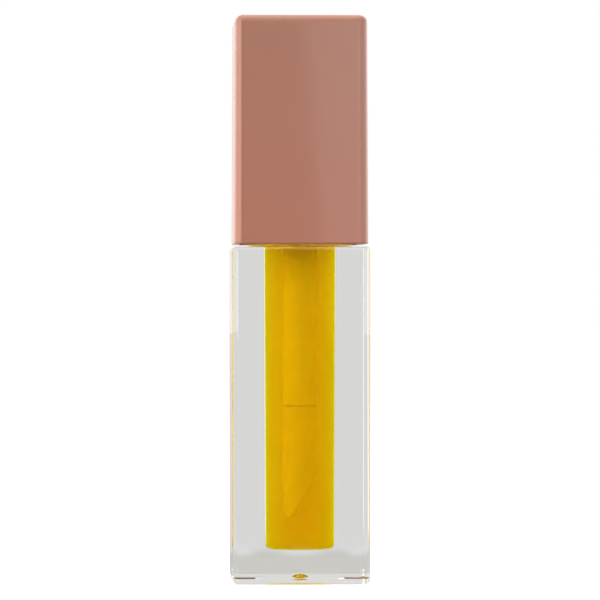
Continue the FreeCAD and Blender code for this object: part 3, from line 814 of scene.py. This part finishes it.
def calc(op, a, b):
    m = nt.nodes.new("ShaderNodeMath")
    m.operation = op
    for i, x in enumerate((a, b)):
        if isinstance(x, (int, float)):
            m.inputs[i].default_value = x
        else:
            nt.links.new(x, m.inputs[i])
    return m.outputs[0]


X, Y, Z = sep.outputs["X"], sep.outputs["Y"], sep.outputs["Z"]
DARK, BASE = 0.985, 0.72
wl = nt.nodes.new("ShaderNodeLightPath")
# seen straight through the clear plastic, the studio is even, from every side of the bottle
clear = calc("MULTIPLY", span(wl.outputs["Transmission Depth"], 0.0, 1.0), span(wl.outputs["Transmission Depth"], 2.0, 3.0, 1.0, 0.0))
# a dark studio behind the camera, with a lit panel that starts just right of it
edge = calc("ADD", X, calc("MULTIPLY", Z, 0.0695))
low = span(Z, 0.013, 0.021, 1.0, 0.0)
sector = calc("MULTIPLY", span(Y, -0.82, -0.93), calc("MULTIPLY", span(X, -0.42, -0.30), span(X, 0.30, 0.42, 1.0, 0.0)))
panel = calc("MULTIPLY", span(edge, 0.0408, 0.0418), calc("SUBTRACT", 1.0, low))
# light that comes back to the camera by one reflection meets the white backdrop at its full level
dark = calc("MULTIPLY", calc("MULTIPLY", sector, calc("SUBTRACT", 1.0, panel)), calc("SUBTRACT", 1.0, calc("MULTIPLY", clear, 0.8)))
SIDE = 1.8
sides = calc("ADD", BASE, calc("MULTIPLY", calc("MULTIPLY", SIDE - BASE, calc("SUBTRACT", 1.0, calc("MULTIPLY", clear, 0.85))), calc("MULTIPLY", span(Y, 0.72, 0.25), span(Z, 0.30, 0.05))))
sides.node.label = "sides"
lean = calc("DIVIDE", X, calc("ADD", calc("ABSOLUTE", Y, 0.0), 0.0001))
band = calc("MULTIPLY", calc("MULTIPLY", span(lean, -0.48, -0.44), span(lean, -0.37, -0.31, 1.0, 0.0)), span(Y, 0.1, 0.2))
sides = calc("ADD", sides, calc("MULTIPLY", calc("MULTIPLY", band, span(Z, 0.9, 0.7)), BASE * BAND * 0.8))
level = calc("MULTIPLY", sides, calc("SUBTRACT", 1.0, calc("MULTIPLY", dark, DARK)))
# less light into the gloss from the front right, so that the wand shades off to that side
flag = calc("MULTIPLY", span(Y, -0.12, -0.32), calc("MULTIPLY", span(X, 0.25, 0.35), span(wl.outputs["Transmission Depth"], 2.0, 3.0)))
level = calc("MULTIPLY", level, calc("SUBTRACT", 1.0, calc("MULTIPLY", flag, 0.6)))
lift = calc("MULTIPLY", calc("ADD", calc("MULTIPLY", span(Y, -0.12, -0.32), span(X, -0.25, -0.35)), span(Y, 0.72, 0.25)), span(wl.outputs["Transmission Depth"], 2.0, 3.0))
level = calc("MULTIPLY", level, calc("ADD", 1.0, calc("MULTIPLY", lift, 0.46)))
behind = calc("MULTIPLY", span(Y, 0.72, 0.9), span(wl.outputs["Transmission Depth"], 2.0, 3.0))
level = calc("MULTIPLY", level, calc("ADD", 1.0, calc("MULTIPLY", behind, 0.1)))
# a mirrored backdrop is as bright as the backdrop itself
mirrored = calc("MULTIPLY", wl.outputs["Is Glossy Ray"], calc("SUBTRACT", 1.0, calc("MINIMUM", wl.outputs["Transmission Depth"], 1.0)))
level = calc("MULTIPLY", level, calc("ADD", 1.0, calc("MULTIPLY", calc("MULTIPLY", mirrored, span(Y, 0.2, 0.6)), 0.25)))
level = calc("MULTIPLY", level, calc("ADD", 1.0, calc("MULTIPLY", calc("MULTIPLY", mirrored, calc("MULTIPLY", span(Y, 0.1, 0.4), span(Y, 0.90, 0.98, 1.0, 0.0))), 0.9)))
strip = calc("MULTIPLY", calc("MULTIPLY", span(X, 0.055, 0.09), span(X, 0.18, 0.23, 1.0, 0.0)), calc("MULTIPLY", span(Y, -0.5, -0.7), calc("MULTIPLY", span(Z, -0.4, -0.3), span(Z, 0.3, 0.4, 1.0, 0.0))))
level = calc("ADD", level, calc("MULTIPLY", strip, 2.4))
level = calc("MULTIPLY", level, calc("SUBTRACT", 1.0, calc("MULTIPLY", wl.outputs["Is Diffuse Ray"], 0.44)))
nt.links.new(level, rest.inputs["Strength"])
lp = nt.nodes.new("ShaderNodeLightPath")
mix = nt.nodes.new("ShaderNodeMixShader")
nt.links.new(lp.outputs["Is Camera Ray"], mix.inputs["Fac"])
nt.links.new(rest.outputs[0], mix.inputs[1])
nt.links.new(seen.outputs[0], mix.inputs[2])
nt.links.new(mix.outputs[0], wo.inputs["Surface"])


def softbox(name, azimuth, low, distance, width, tall, power, down=False):
    """A rectangular area light, upright with its lower edge at height low, or hanging and facing down.
    Azimuth 0 is behind the camera, 90 to its right."""
    light = bpy.data.lights.new(name, "AREA")
    light.shape = "RECTANGLE"
    light.size = width
    light.size_y = tall
    light.energy = power
    ob = bpy.data.objects.new(name, light)
    sc.collection.objects.link(ob)
    a = math.radians(azimuth)
    if down:
        ob.location = (0, -0.15, low)
    else:
        ob.location = (math.sin(a) * distance, -math.cos(a) * distance, low + tall / 2)
        ob.rotation_euler = (math.radians(90), 0, a)
    return ob


def radiance(value, width, tall):
    """Watts that give a one-sided area light this radiance."""
    return value * math.pi * width * tall


key = softbox("key_left", -70, 0.072, 0.9, 0.42, 0.9, radiance(7.6, 0.42, 0.9))
softbox("soft_left", -44, 0.072, 0.9, 0.40, 0.9, radiance(1.8, 0.40, 0.9))
fill = softbox("fill_right", 80, 0.072, 1.0, 0.6, 0.9, radiance(3.6, 0.6, 0.9))
# both are behind diffusers: no hard reflection in the rounded corners
key.visible_glossy = False
fill.visible_glossy = False
softbox("top", 0, 1.2, 0.15, 0.8, 0.8, radiance(1.1, 0.8, 0.8), down=True)

cam = bpy.data.cameras.new("camera")
cam.sensor_width = 36.0
D = 0.80
cam.lens = 36.0 * D / (600 * 0.17688 * MM)
cam.clip_start = 0.01
cam.clip_end = 50
cam_ob = bpy.data.objects.new("camera", cam)
sc.collection.objects.link(cam_ob)
TURN = math.radians(2.0)
DIST = D + HALF * MM
side = 1.0 * 0.17688 * MM
cam_ob.location = (-DIST * math.sin(TURN) + side * math.cos(TURN), -DIST * math.cos(TURN) - side * math.sin(TURN), 0.0504)
cam_ob.rotation_euler = (math.radians(90), 0, -TURN)
sc.camera = cam_ob
sc.view_settings.view_transform = "Standard"
sc.cycles.use_denoising = True
sc.cycles.max_bounces = 24
sc.cycles.transmission_bounces = 20
sc.cycles.transparent_max_bounces = 16
sc.cycles.volume_bounces = 16
sc.cycles.diffuse_bounces = 8
